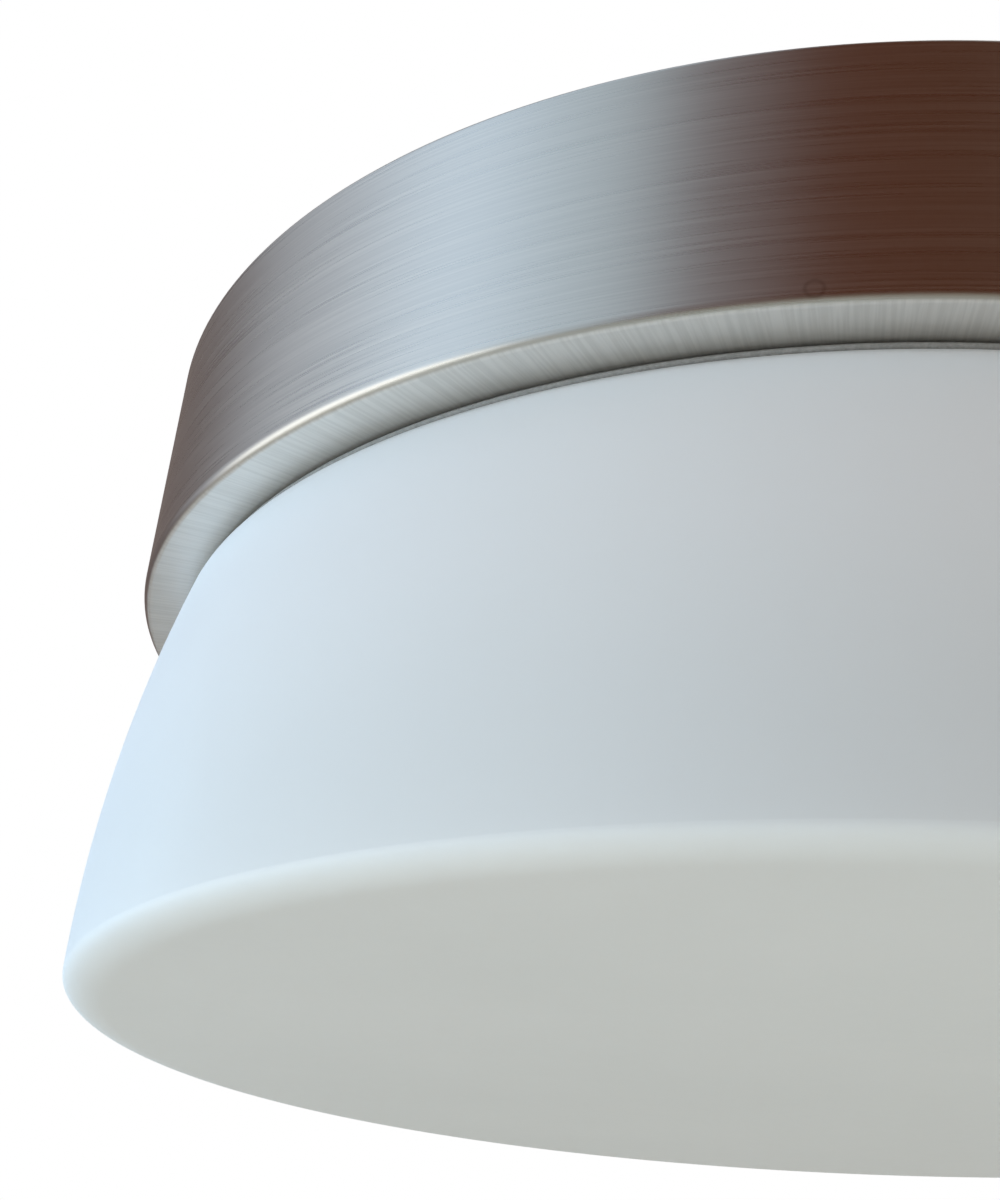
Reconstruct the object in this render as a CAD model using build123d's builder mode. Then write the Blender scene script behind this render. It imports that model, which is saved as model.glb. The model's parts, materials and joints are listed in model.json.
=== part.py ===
from build123d import *
import math
import os

# Flush mount ceiling light. All sizes are in millimetres.
# z = 0 is the ceiling, the lamp hangs below it, and the Z axis runs through the middle of the pan.

# Pan: one spun steel sheet with a recessed back and a flange turned in at the bottom
pan_radius = 165.0
pan_height = 52.3
pan_draft = 2.4
sheet = 0.8
recess_radius = 153.0
recess_depth = 9.0
flange_opening = 152.0
recess_bend = 1.0
rim_bend = 1.0
lower_bend = 1.8
plate_top = -recess_depth
plate_under = plate_top - sheet

# Glass shade: neck, shoulder, a wall bowed outwards and a flat bottom
glass_wall = 3.6
neck_radius = 147.0
neck_top = -44.5
shoulder_z = -54.36
bottom_z = -140.3
bow_radius = 285.6
bow_centre_r = -116.2
bow_centre_z = -143.7
bottom_fillet = 8.6
shoulder_fillet = 2.5
neck_fillet = 1.5
rim_fillet = 0.8

# Twist lock: three lugs on the neck sit on three keepers in the pan
keeper_azimuths = (-92.0, 28.0, 148.0)
keeper_arc = 18.0
keeper_sheet = 1.0
keeper_inner = 149.0
keeper_tab_top = -38.0
keeper_lift = 0.1
keeper_corner = 1.2
weld_gap = 0.02
stop_arc = 0.4
stop_gap_arc = 0.2
stop_height = 9.0
stop_radius = 153.5
lug_arc = 12.0
lug_radius = 151.3
lug_height = 4.5
lug_root = 145.0
free_gap = 0.3
gasket_inner = 148.8
gasket_outer = 153.0

# Mounting strap and the screws that hold the pan to it
strap_length = 104.0
strap_width = 19.0
strap_sheet = 1.5
strap_corner = 4.0
box_hole_spacing = 88.9
box_hole_radius = 2.3
nipple_hole_radius = 5.25
canopy_spacing = 69.86
canopy_shank_radius = 2.05
canopy_hole_radius = 2.1
canopy_head_radius = 4.0
canopy_head_height = 2.8
canopy_head_fillet = 1.2
key_slot_width = 4.8
key_entry_radius = 4.6
key_turn = 14.0
tip_setback = 0.1
strap_screw_x = -17.0
strap_screw_radius = 1.95
hex_across = 7.0
hex_height = 2.6
hex_chamfer = 0.4

# Driver recesses in the screw heads
cross_length = 4.4
small_cross_length = 3.6
cross_width = 1.0
cross_depth = 1.3

# Insulation pad in the recess
pad_inner = 75.0
pad_outer = 150.0
pad_top = -0.6
pad_bottom = -8.35

# Wire bushing in the back plate
bushing_y = 24.0
bushing_bore = 8.5
bushing_barrel = 10.95
bushing_flange = 13.0
bushing_lip = 12.2
bushing_flange_height = 1.4
bushing_lip_height = 1.8
bushing_hole = 11.0
bushing_edge = 0.7

# Lamp holders: two, lying flat, side by side and facing opposite ways
lamp_z = -54.0
lamp_offset = 37.0
lamp_tip_x = 100.0
thread_pitch = 3.63
thread_depth = 0.5
lamp_thread_radius = 12.6
shell_thread_radius = 12.95
shell_sheet = 0.35
thread_turns = 5
thread_start = 5.5
socket_rear = -13.0
socket_front = 26.5
socket_floor = -4.0
socket_bore = 14.0
socket_front_radius = 19.0
socket_rear_radius = 16.5
socket_screw_offset = 10.0
socket_cone_start = 5.0
socket_cone_end = 8.0
socket_front_fillet = 1.5
socket_rear_fillet = 1.0
socket_screw_radius = 1.7
socket_screw_reach = 6.5
socket_screw_hole_depth = 7.0
socket_head_radius = 3.2
socket_head_height = 2.2
thread_play = 0.05
hole_play = 0.2
shell_front_setback = 0.5
shell_rear_gap = 0.1
lead_exit_offset = 11.5

# Spring contact at the bottom of each socket, 0.4 short of the lamp's tip
contact_foot = -8.0
contact_heel = -1.0
contact_toe = 0.5
contact_end = 5.0
contact_setback = 0.9
contact_sheet = 0.5
contact_width = 5.0
contact_bend = 0.8

# Lamp: LED lamp with a 60 mm globe and a 26 mm screw base
globe_radius = 30.0
globe_centre = 78.0
globe_wall = 1.5
globe_rim = 62.0
housing_start = 27.5
base_start = 4.0
base_bore = 11.4
base_lip = 0.6
insulator_chamfer = 0.8
insulator_tip = 1.6
insulator_tip_radius = 4.6
insulator_end = 7.0
button_radius = 4.0
button_fillet = 1.4
housing_neck_radius = 13.4
housing_middle = 46.0
housing_middle_radius = 18.4
housing_wall = 2.2
housing_throat_radius = 10.0
housing_throat_end = 29.5
housing_tail = 20.0
housing_fit = 0.05
board_seat = 2.0
board_ledge = 0.6
board_play = 0.1
board_sheet = 1.6
chip_ring = 15.0
chip_count = 10
chip_size = 3.0
chip_height = 0.7

# Holder bracket and its rivets
bracket_sheet = 1.2
bracket_width = 14.0
bracket_drop = 14.0
bracket_foot = 11.0
bracket_bend = 1.0
rivet_places = (-4.0, 6.0)
rivet_radius = 1.6
rivet_head_radius = 3.0
rivet_head_height = 1.4
rivet_tail_radius = 2.4
rivet_tail_height = 0.6
rivet_head_taper = 20
rivet_tail_taper = 15

# Terminal block between the two lamps
block_y = -22.0
block_length = 30.0
block_width = 18.0
block_height = 11.5
block_corner = 1.5
block_edge = 1.0
block_screw_radius = 1.5
block_screw_play = 0.1
block_screw_tip = 0.8
block_head_radius = 2.7
block_head_height = 2.0
block_recess_depth = 2.5
block_slot_depth = 1.0
port_radius = 1.5
port_depth = 7.0
port_spacing = 5.0
supply_port_spacing = 9.0
supply_port_radius = 1.9
supply_port_depth = 5.0

# Leads inside the pan
lead_radius = 1.2
lead_z = -15.5
clip_gap = 3.6
clip_length = 10.0
clip_play = 0.3
clip_wall = 1.0
clip_foot_width = 14.0
clip_foot_height = 1.5
earth_place = (60.0, 12.0)
earth_screw_radius = 1.95
earth_head_radius = 4.0
earth_head_height = 2.4
earth_head_fillet = 1.0
earth_screw_tip = 1.5
tag_sheet = 0.8
tag_radius = 4.4
tag_neck_width = 4.0
tag_neck_length = 6.0
tag_neck_centre = 5.5
tag_barrel_radius = 2.2
tag_barrel_start = 7.0
tag_barrel_length = 6.0
tag_barrel_gap = 0.3
crimp_play = 0.05

os.makedirs("parts", exist_ok=True)


def save(builder, label):
    builder.part.label = label
    export_step(builder.part, f"parts/{label}.step")


def radial_plane(azimuth):
    """Upright plane through the Z axis: sketch x is the radius, sketch y is z."""
    angle = math.radians(azimuth)
    outward = (math.cos(angle), math.sin(angle), 0)
    normal = (math.sin(angle), -math.cos(angle), 0)
    return Plane(origin=(0, 0, 0), x_dir=outward, z_dir=normal)


def holder_plane(side):
    """Upright plane along a lamp's axis: sketch x runs from the lamp's tip to its globe."""
    return Plane(
        origin=(-side * lamp_tip_x, side * lamp_offset, lamp_z),
        x_dir=(side, 0, 0),
        z_dir=(0, -side, 0),
    )


def holder_axis(side):
    plane = holder_plane(side)
    return Axis(plane.origin, plane.x_dir)


def wall_inside(z):
    """Inner radius of the pan's wall at height z."""
    slope = pan_draft / pan_height
    return pan_radius - slope * (z + pan_height) - sheet * math.hypot(1, slope)


def bowl_radius(z, inset):
    """Radius of the shade's bowed wall at height z, measured inset into the glass."""
    reach = bow_radius - inset
    return bow_centre_r + math.sqrt(reach**2 - (z - bow_centre_z) ** 2)


def thread_rings(start, middle, turns):
    """Crests and roots of a screw shell, drawn as rings."""
    for turn in range(turns):
        foot = start + turn * thread_pitch
        half = foot + thread_pitch / 2
        end = foot + thread_pitch
        ThreePointArc((foot, middle), (foot + thread_pitch / 4, middle + thread_depth), (half, middle))
        ThreePointArc((half, middle), (end - thread_pitch / 4, middle - thread_depth), (end, middle))


thread_end = thread_start + thread_turns * thread_pitch

# --- Pan ---
with BuildPart() as pan:
    with BuildSketch(Plane.XZ) as pan_section:
        with BuildLine():
            FilletPolyline(
                (0, plate_top),
                (recess_radius, plate_top),
                (recess_radius, 0),
                (pan_radius - pan_draft, 0),
                (pan_radius, -pan_height),
                (flange_opening, -pan_height),
                radius=[recess_bend, rim_bend, rim_bend, lower_bend],
            )
            offset(amount=sheet, side=Side.RIGHT)
        make_face()
    revolve(axis=Axis.Z)
    with BuildSketch(Plane.XY.offset(plate_top)) as pan_holes:
        with Locations((0, bushing_y)):
            Circle(bushing_hole)
        with PolarLocations(canopy_spacing / 2, 2, start_angle=key_turn):
            Circle(key_entry_radius)
        half_turn = math.radians(key_turn / 2)
        with PolarLocations(canopy_spacing / 2 * math.cos(half_turn), 2, start_angle=key_turn / 2):
            SlotCenterToCenter(canopy_spacing * math.sin(half_turn), key_slot_width, rotation=90)
        for side in (1, -1):
            for place in rivet_places:
                with Locations((side * (place - lamp_tip_x), side * lamp_offset)):
                    Circle(rivet_radius)
        with Locations((0, block_y)):
            Circle(block_screw_radius)
        with Locations(earth_place):
            Circle(earth_screw_radius)
    extrude(amount=-sheet, mode=Mode.SUBTRACT)
save(pan, "pan")

# --- Insulation pad ---
with BuildPart() as insulation_pad:
    with BuildSketch(Plane.XY.offset(pad_bottom)):
        Circle(pad_outer)
        Circle(pad_inner, mode=Mode.SUBTRACT)
    extrude(amount=pad_top - pad_bottom)
save(insulation_pad, "insulation_pad")

# --- Mounting strap ---
with BuildPart() as mounting_strap:
    with BuildSketch(Plane.XY.offset(-strap_sheet)):
        RectangleRounded(strap_length, strap_width, strap_corner)
        Circle(nipple_hole_radius, mode=Mode.SUBTRACT)
        with GridLocations(box_hole_spacing, 0, 2, 1):
            Circle(box_hole_radius, mode=Mode.SUBTRACT)
        with GridLocations(canopy_spacing, 0, 2, 1):
            Circle(canopy_hole_radius, mode=Mode.SUBTRACT)
        with Locations((strap_screw_x, 0)):
            Circle(strap_screw_radius, mode=Mode.SUBTRACT)
    extrude(amount=strap_sheet)
save(mounting_strap, "mounting_strap")

with BuildPart() as strap_ground_screw:
    with BuildSketch(Plane.XY.offset(-strap_sheet)):
        with Locations((strap_screw_x, 0)):
            RegularPolygon(hex_across / 2, 6, major_radius=False)
    extrude(amount=-hex_height)
    chamfer(strap_ground_screw.faces().sort_by(Axis.Z)[0].edges(), hex_chamfer)
    with BuildSketch(Plane.XY.offset(-strap_sheet)):
        with Locations((strap_screw_x, 0)):
            Circle(strap_screw_radius)
    extrude(amount=strap_sheet - tip_setback)
save(strap_ground_screw, "strap_ground_screw")

# --- Canopy screws: through the pan's keyholes into the strap ---
with BuildPart() as canopy_screws:
    with BuildSketch(Plane.XY.offset(plate_under)):
        with GridLocations(canopy_spacing, 0, 2, 1):
            Circle(canopy_head_radius)
    extrude(amount=-canopy_head_height)
    fillet(canopy_screws.faces().group_by(Axis.Z)[0].edges(), canopy_head_fillet)
    with BuildSketch(Plane.XY.offset(plate_under)):
        with GridLocations(canopy_spacing, 0, 2, 1):
            Circle(canopy_shank_radius)
    extrude(amount=-plate_under - tip_setback)
    with BuildSketch(Plane.XY.offset(plate_under - canopy_head_height)):
        with GridLocations(canopy_spacing, 0, 2, 1):
            Rectangle(cross_length, cross_width)
            Rectangle(cross_width, cross_length)
    extrude(amount=cross_depth, mode=Mode.SUBTRACT)
save(canopy_screws, "canopy_screws")

# --- Wire bushing ---
with BuildPart() as wire_bushing:
    with BuildSketch(Plane.XZ.offset(-bushing_y)) as bushing_section:
        with BuildLine():
            Polyline(
                (bushing_bore, plate_top + bushing_flange_height),
                (bushing_flange, plate_top + bushing_flange_height),
                (bushing_flange, plate_top),
                (bushing_barrel, plate_top),
                (bushing_barrel, plate_under),
                (bushing_lip, plate_under),
                (bushing_barrel, plate_under - bushing_lip_height),
                (bushing_bore, plate_under - bushing_lip_height),
                close=True,
            )
        make_face()
        outer_edge = (bushing_flange, plate_top + bushing_flange_height)
        fillet(bushing_section.vertices().sort_by_distance(outer_edge)[0], bushing_edge)
    revolve(axis=Axis((0, bushing_y, 0), (0, 0, 1)))
save(wire_bushing, "wire_bushing")

# --- Glass shade with its three lugs ---
inner_shoulder = shoulder_z - glass_wall
inner_bottom = bottom_z + glass_wall
neck_inner = neck_radius - glass_wall
outer_foot = (bowl_radius(bottom_z, 0), bottom_z)
outer_shoulder = (bowl_radius(shoulder_z, 0), shoulder_z)
inner_foot = (bowl_radius(inner_bottom, glass_wall), inner_bottom)
inner_top = (bowl_radius(inner_shoulder, glass_wall), inner_shoulder)
waist_z = (shoulder_z + bottom_z) / 2
shade_corners = [
    (outer_foot, bottom_fillet),
    (outer_shoulder, shoulder_fillet),
    ((neck_radius, shoulder_z), neck_fillet),
    ((neck_radius, neck_top), rim_fillet),
    ((neck_inner, neck_top), rim_fillet),
    ((neck_inner, inner_shoulder), neck_fillet + glass_wall),
    (inner_top, rim_fillet),
    (inner_foot, bottom_fillet - glass_wall),
]
keeper_floor = -pan_height + sheet + keeper_lift
keeper_top = keeper_floor + keeper_sheet
lug_bottom = keeper_top + free_gap

with BuildPart() as diffuser:
    with BuildSketch(Plane.XZ) as shade_section:
        with BuildLine():
            Line((0, bottom_z), outer_foot)
            ThreePointArc(outer_foot, (bowl_radius(waist_z, 0), waist_z), outer_shoulder)
            Polyline(
                outer_shoulder,
                (neck_radius, shoulder_z),
                (neck_radius, neck_top),
                (neck_inner, neck_top),
                (neck_inner, inner_shoulder),
                inner_top,
            )
            ThreePointArc(inner_top, (bowl_radius(waist_z, glass_wall), waist_z), inner_foot)
            Line(inner_foot, (0, inner_bottom))
            Line((0, inner_bottom), (0, bottom_z))
        make_face()
        for corner, radius in shade_corners:
            fillet(shade_section.vertices().sort_by_distance(corner)[0], radius)
    revolve(axis=Axis.Z)
    for azimuth in keeper_azimuths:
        with BuildSketch(radial_plane(azimuth - lug_arc / 2)) as lug_section:
            with Locations(((lug_root + lug_radius) / 2, lug_bottom + lug_height / 2)):
                Rectangle(lug_radius - lug_root, lug_height)
        revolve(axis=Axis.Z, revolution_arc=lug_arc)
save(diffuser, "diffuser")

with BuildPart() as dust_gasket:
    with BuildSketch(Plane.XY.offset(shoulder_z)):
        Circle(gasket_outer)
        Circle(gasket_inner, mode=Mode.SUBTRACT)
    extrude(amount=-pan_height - free_gap - shoulder_z)
save(dust_gasket, "dust_gasket")

# --- Keepers: L-shaped clips welded to the wall, each with a stop at one end ---
corner_top = keeper_floor + keeper_corner
for number, azimuth in enumerate(keeper_azimuths, start=1):
    start = azimuth - keeper_arc / 2
    with BuildPart() as keeper:
        with BuildSketch(radial_plane(start)):
            with BuildLine():
                Polyline(
                    (keeper_inner, keeper_floor),
                    (wall_inside(keeper_floor) - keeper_corner, keeper_floor),
                    (wall_inside(corner_top) - weld_gap, corner_top),
                    (wall_inside(keeper_tab_top) - weld_gap, keeper_tab_top),
                    (wall_inside(keeper_tab_top) - keeper_sheet, keeper_tab_top),
                    (wall_inside(keeper_top) - keeper_sheet, keeper_top),
                    (keeper_inner, keeper_top),
                    close=True,
                )
            make_face()
        revolve(axis=Axis.Z, revolution_arc=keeper_arc)
        stop_start = azimuth - lug_arc / 2 - stop_arc - stop_gap_arc
        with BuildSketch(radial_plane(stop_start)):
            with Locations(((keeper_inner + stop_radius) / 2, keeper_floor + stop_height / 2)):
                Rectangle(stop_radius - keeper_inner, stop_height)
        revolve(axis=Axis.Z, revolution_arc=stop_arc)
    save(keeper, f"keeper_{number}")

# --- Lamp holders and lamps, one set per side ---
for number, side in ((1, 1), (2, -1)):
    plane = holder_plane(side)
    axis = holder_axis(side)
    tip_plane = Plane(origin=plane.origin, x_dir=(0, 1, 0), z_dir=plane.x_dir)
    rear_plane = tip_plane.offset(socket_rear)
    exits = ((lead_exit_offset, 0), (-lead_exit_offset, 0))
    screw_spots = ((0, socket_screw_offset), (0, -socket_screw_offset))

    with BuildPart() as socket_body:
        with BuildSketch(plane) as body_section:
            with BuildLine():
                Polyline(
                    (socket_rear, 0),
                    (socket_rear, socket_rear_radius),
                    (socket_cone_start, socket_rear_radius),
                    (socket_cone_end, socket_front_radius),
                    (socket_front, socket_front_radius),
                    (socket_front, socket_bore),
                    (socket_floor, socket_bore),
                    (socket_floor, 0),
                    close=True,
                )
            make_face()
            front_corner = (socket_front, socket_front_radius)
            rear_corner = (socket_rear, socket_rear_radius)
            fillet(body_section.vertices().sort_by_distance(front_corner)[0], socket_front_fillet)
            fillet(body_section.vertices().sort_by_distance(rear_corner)[0], socket_rear_fillet)
        revolve(axis=axis)
        with BuildSketch(rear_plane):
            with Locations(*exits):
                Circle(lead_radius + hole_play)
        extrude(amount=socket_floor - socket_rear, mode=Mode.SUBTRACT)
        with BuildSketch(rear_plane):
            with Locations(*screw_spots):
                Circle(socket_screw_radius + thread_play)
        extrude(amount=socket_screw_hole_depth, mode=Mode.SUBTRACT)
    save(socket_body, f"socket_body_{number}")

    shell_outer = shell_thread_radius + shell_sheet
    shell_front = socket_front - shell_front_setback
    shell_rear = socket_floor + shell_rear_gap
    with BuildPart() as socket_shell:
        with BuildSketch(plane):
            with BuildLine():
                thread_rings(thread_start, shell_thread_radius, thread_turns)
                Polyline(
                    (thread_end, shell_thread_radius),
                    (shell_front, shell_thread_radius),
                    (shell_front, shell_outer),
                    (thread_end, shell_outer),
                )
                thread_rings(thread_start, shell_outer, thread_turns)
                Polyline(
                    (thread_start, shell_outer),
                    (shell_rear, shell_outer),
                    (shell_rear, shell_thread_radius),
                    (thread_start, shell_thread_radius),
                )
            make_face()
        revolve(axis=axis)
    save(socket_shell, f"socket_shell_{number}")

    with BuildPart() as socket_contact:
        with BuildSketch(plane):
            with BuildLine():
                FilletPolyline(
                    (socket_floor, contact_foot),
                    (socket_floor, contact_heel),
                    (-contact_setback, contact_toe),
                    (-contact_setback, contact_end),
                    radius=contact_bend,
                )
                offset(amount=contact_sheet, side=Side.RIGHT)
            make_face()
        extrude(amount=contact_width / 2, both=True)
    save(socket_contact, f"socket_contact_{number}")

    with BuildPart() as socket_screws:
        head_plane = rear_plane.offset(-bracket_sheet)
        with BuildSketch(head_plane):
            with Locations(*screw_spots):
                Circle(socket_head_radius)
        extrude(amount=-socket_head_height)
        with BuildSketch(head_plane):
            with Locations(*screw_spots):
                Circle(socket_screw_radius)
        extrude(amount=bracket_sheet + socket_screw_reach)
        with BuildSketch(head_plane.offset(-socket_head_height)):
            with Locations(*screw_spots):
                Rectangle(small_cross_length, cross_width)
                Rectangle(cross_width, small_cross_length)
        extrude(amount=cross_depth, mode=Mode.SUBTRACT)
    save(socket_screws, f"socket_screws_{number}")

    bracket_rise = plate_under - lamp_z
    with BuildPart() as holder_bracket:
        with BuildSketch(plane) as bracket_section:
            with BuildLine():
                Polyline(
                    (socket_rear, -bracket_drop),
                    (socket_rear, bracket_rise - bracket_sheet),
                    (bracket_foot, bracket_rise - bracket_sheet),
                    (bracket_foot, bracket_rise),
                    (socket_rear - bracket_sheet, bracket_rise),
                    (socket_rear - bracket_sheet, -bracket_drop),
                    close=True,
                )
            make_face()
            inside_bend = (socket_rear, bracket_rise - bracket_sheet)
            outside_bend = (socket_rear - bracket_sheet, bracket_rise)
            fillet(bracket_section.vertices().sort_by_distance(inside_bend)[0], bracket_bend)
            fillet(
                bracket_section.vertices().sort_by_distance(outside_bend)[0],
                bracket_bend + bracket_sheet,
            )
        extrude(amount=bracket_width / 2, both=True)
        with BuildSketch(rear_plane):
            with Locations(*screw_spots):
                Circle(socket_screw_radius + hole_play)
        extrude(amount=-bracket_sheet, mode=Mode.SUBTRACT)
        with BuildSketch(Plane.XY.offset(plate_under)):
            for place in rivet_places:
                with Locations((side * (place - lamp_tip_x), side * lamp_offset)):
                    Circle(rivet_radius)
        extrude(amount=-bracket_sheet, mode=Mode.SUBTRACT)
    save(holder_bracket, f"holder_bracket_{number}")

    with BuildPart() as lamp_base:
        with BuildSketch(plane):
            with BuildLine():
                thread_rings(thread_start, lamp_thread_radius, thread_turns)
                Polyline(
                    (thread_end, lamp_thread_radius),
                    (housing_start, lamp_thread_radius),
                    (housing_start, base_bore),
                    (base_start + insulator_chamfer, base_bore),
                    (base_start, base_bore - insulator_chamfer),
                    (base_start, base_bore - insulator_chamfer + base_lip),
                    (thread_start, lamp_thread_radius),
                )
            make_face()
        revolve(axis=axis)
    save(lamp_base, f"lamp_base_{number}")

    with BuildPart() as lamp_insulator:
        with BuildSketch(plane):
            with BuildLine():
                Polyline(
                    (insulator_tip, 0),
                    (insulator_tip, insulator_tip_radius),
                    (base_start, base_bore - insulator_chamfer),
                    (base_start + insulator_chamfer, base_bore),
                    (insulator_end, base_bore),
                    (insulator_end, 0),
                    close=True,
                )
            make_face()
        revolve(axis=axis)
    save(lamp_insulator, f"lamp_insulator_{number}")

    with BuildPart() as lamp_contact:
        with BuildSketch(tip_plane):
            Circle(button_radius)
        extrude(amount=insulator_tip)
        fillet(lamp_contact.faces().sort_by(axis)[0].edges(), button_fillet)
    save(lamp_contact, f"lamp_contact_{number}")

    rim_outer = math.sqrt(globe_radius**2 - (globe_centre - globe_rim) ** 2)
    rim_inner = math.sqrt((globe_radius - globe_wall) ** 2 - (globe_centre - globe_rim) ** 2)
    seat = (globe_rim - board_seat, rim_inner - board_ledge)
    with BuildPart() as lamp_housing:
        with BuildSketch(plane):
            with BuildLine():
                ThreePointArc(
                    (housing_start, housing_neck_radius),
                    (housing_middle, housing_middle_radius),
                    (globe_rim, rim_outer),
                )
                Polyline((globe_rim, rim_outer), (globe_rim, rim_inner), seat)
                ThreePointArc(
                    seat,
                    (housing_middle, housing_middle_radius - housing_wall),
                    (housing_throat_end, housing_throat_radius),
                )
                Polyline(
                    (housing_throat_end, housing_throat_radius),
                    (housing_tail, housing_throat_radius),
                    (housing_tail, base_bore - housing_fit),
                    (housing_start, base_bore - housing_fit),
                    (housing_start, housing_neck_radius),
                )
            make_face()
        revolve(axis=axis)
    save(lamp_housing, f"lamp_housing_{number}")

    board_plane = tip_plane.offset(globe_rim - board_seat)
    with BuildPart() as led_board:
        with BuildSketch(board_plane):
            Circle(rim_inner - board_ledge - board_play)
        extrude(amount=board_sheet)
        with BuildSketch(board_plane.offset(board_sheet)):
            with PolarLocations(chip_ring, chip_count):
                Rectangle(chip_size, chip_size)
        extrude(amount=chip_height)
    save(led_board, f"led_board_{number}")

    globe_slant = math.radians(45)
    with BuildPart() as lamp_globe:
        with BuildSketch(plane):
            with BuildLine():
                for reach in (globe_radius, globe_radius - globe_wall):
                    rim = math.sqrt(reach**2 - (globe_centre - globe_rim) ** 2)
                    ThreePointArc(
                        (globe_rim, rim),
                        (globe_centre + reach * math.cos(globe_slant), reach * math.sin(globe_slant)),
                        (globe_centre + reach, 0),
                    )
                Line((globe_rim, rim_outer), (globe_rim, rim_inner))
                Line(
                    (globe_centre + globe_radius - globe_wall, 0),
                    (globe_centre + globe_radius, 0),
                )
            make_face()
        revolve(axis=axis)
    save(lamp_globe, f"lamp_globe_{number}")

# --- Rivets that hold the brackets to the back plate ---
with BuildPart() as bracket_rivets:
    for side in (1, -1):
        for place in rivet_places:
            spot = (side * (place - lamp_tip_x), side * lamp_offset)
            with BuildSketch(Plane.XY.offset(plate_under - bracket_sheet)):
                with Locations(spot):
                    Circle(rivet_head_radius)
            extrude(amount=-rivet_head_height, taper=rivet_head_taper)
            with BuildSketch(Plane.XY.offset(plate_under - bracket_sheet)):
                with Locations(spot):
                    Circle(rivet_radius)
            extrude(amount=bracket_sheet + sheet)
            with BuildSketch(Plane.XY.offset(plate_top)):
                with Locations(spot):
                    Circle(rivet_tail_radius)
            extrude(amount=rivet_tail_height, taper=rivet_tail_taper)
save(bracket_rivets, "bracket_rivets")

# --- Terminal block ---
block_bottom = plate_under - block_height
lamp_ports = [block_y + port_spacing * step for step in (-1, 0, 1)]
with BuildPart() as terminal_block:
    with BuildSketch(Plane.XY.offset(plate_under)):
        with Locations((0, block_y)):
            RectangleRounded(block_length, block_width, block_corner)
    extrude(amount=-block_height)
    fillet(terminal_block.faces().sort_by(Axis.Z)[0].edges(), block_edge)
    with BuildSketch(Plane.XY.offset(block_bottom)):
        with Locations((0, block_y)):
            Circle(block_head_radius + hole_play)
    extrude(amount=block_recess_depth, mode=Mode.SUBTRACT)
    with BuildSketch(Plane.XY.offset(block_bottom)):
        with Locations((0, block_y)):
            Circle(block_screw_radius + block_screw_play)
    extrude(amount=block_height, mode=Mode.SUBTRACT)
    for end in (1, -1):
        with BuildSketch(Plane.YZ.offset(end * block_length / 2)):
            with Locations([(port_y, lead_z) for port_y in lamp_ports]):
                Circle(port_radius)
        extrude(amount=-end * port_depth, mode=Mode.SUBTRACT)
    with BuildSketch(Plane.XZ.offset(-(block_y + block_width / 2))):
        with Locations([(supply_port_spacing * step, lead_z) for step in (-1, 0, 1)]):
            Circle(supply_port_radius)
    extrude(amount=supply_port_depth, mode=Mode.SUBTRACT)
save(terminal_block, "terminal_block")

head_top = block_bottom + block_recess_depth
with BuildPart() as terminal_screw:
    with BuildSketch(Plane.XY.offset(head_top)):
        with Locations((0, block_y)):
            Circle(block_head_radius)
    extrude(amount=-block_head_height)
    with BuildSketch(Plane.XY.offset(head_top)):
        with Locations((0, block_y)):
            Circle(block_screw_radius)
    extrude(amount=plate_top + block_screw_tip - head_top)
    with BuildSketch(Plane.XY.offset(head_top - block_head_height)):
        with Locations((0, block_y)):
            Rectangle(small_cross_length, cross_width)
    extrude(amount=block_slot_depth, mode=Mode.SUBTRACT)
save(terminal_screw, "terminal_screw")

# --- Earth tag and its screw ---
barrel_z = plate_under - tag_barrel_radius - tag_barrel_gap
earth_x, earth_y = earth_place
with BuildPart() as earth_tag:
    with BuildSketch(Plane.XY.offset(plate_under)):
        with Locations(earth_place):
            Circle(tag_radius)
        with Locations((earth_x, earth_y - tag_neck_centre)):
            Rectangle(tag_neck_width, tag_neck_length)
        with Locations(earth_place):
            Circle(earth_screw_radius + block_screw_play, mode=Mode.SUBTRACT)
    extrude(amount=-tag_sheet)
    with BuildSketch(Plane.XZ.offset(tag_barrel_start - earth_y)):
        with Locations((earth_x, barrel_z)):
            Circle(tag_barrel_radius)
            Circle(lead_radius + crimp_play, mode=Mode.SUBTRACT)
    extrude(amount=tag_barrel_length)
save(earth_tag, "earth_tag")

with BuildPart() as earth_screw:
    with BuildSketch(Plane.XY.offset(plate_under - tag_sheet)):
        with Locations(earth_place):
            Circle(earth_head_radius)
    extrude(amount=-earth_head_height)
    fillet(earth_screw.faces().sort_by(Axis.Z)[0].edges(), earth_head_fillet)
    with BuildSketch(Plane.XY.offset(plate_under - tag_sheet)):
        with Locations(earth_place):
            Circle(earth_screw_radius)
    extrude(amount=tag_sheet + sheet + earth_screw_tip)
    with BuildSketch(Plane.XY.offset(plate_under - tag_sheet - earth_head_height)):
        with Locations(earth_place):
            Rectangle(cross_length, cross_width)
            Rectangle(cross_width, cross_length)
    extrude(amount=cross_depth, mode=Mode.SUBTRACT)
save(earth_screw, "earth_screw")


# --- Leads ---
def bend_radii(points):
    """Radius at each corner: 0.45 of the shorter run beside it, over the tangent of half the turn."""
    radii = []
    for before, corner, after in zip(points, points[1:], points[2:]):
        run_in = Vector(corner) - Vector(before)
        run_out = Vector(after) - Vector(corner)
        half_turn = math.radians(run_in.get_angle(run_out)) / 2
        radii.append(0.45 * min(run_in.length, run_out.length) / math.tan(half_turn))
    return radii


def lead(points, label):
    radii = bend_radii(points)
    with BuildPart() as wire:
        with BuildLine() as route:
            FilletPolyline(*points, radius=radii)
        with BuildSketch(Plane(origin=route.line @ 0, z_dir=route.line % 0)):
            Circle(lead_radius)
        sweep()
    save(wire, label)
    expected = math.pi * lead_radius**2 * route.wire().length
    print(label, "bends", [round(r, 1) for r in radii], "volume", round(wire.part.volume / expected, 4))


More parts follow.
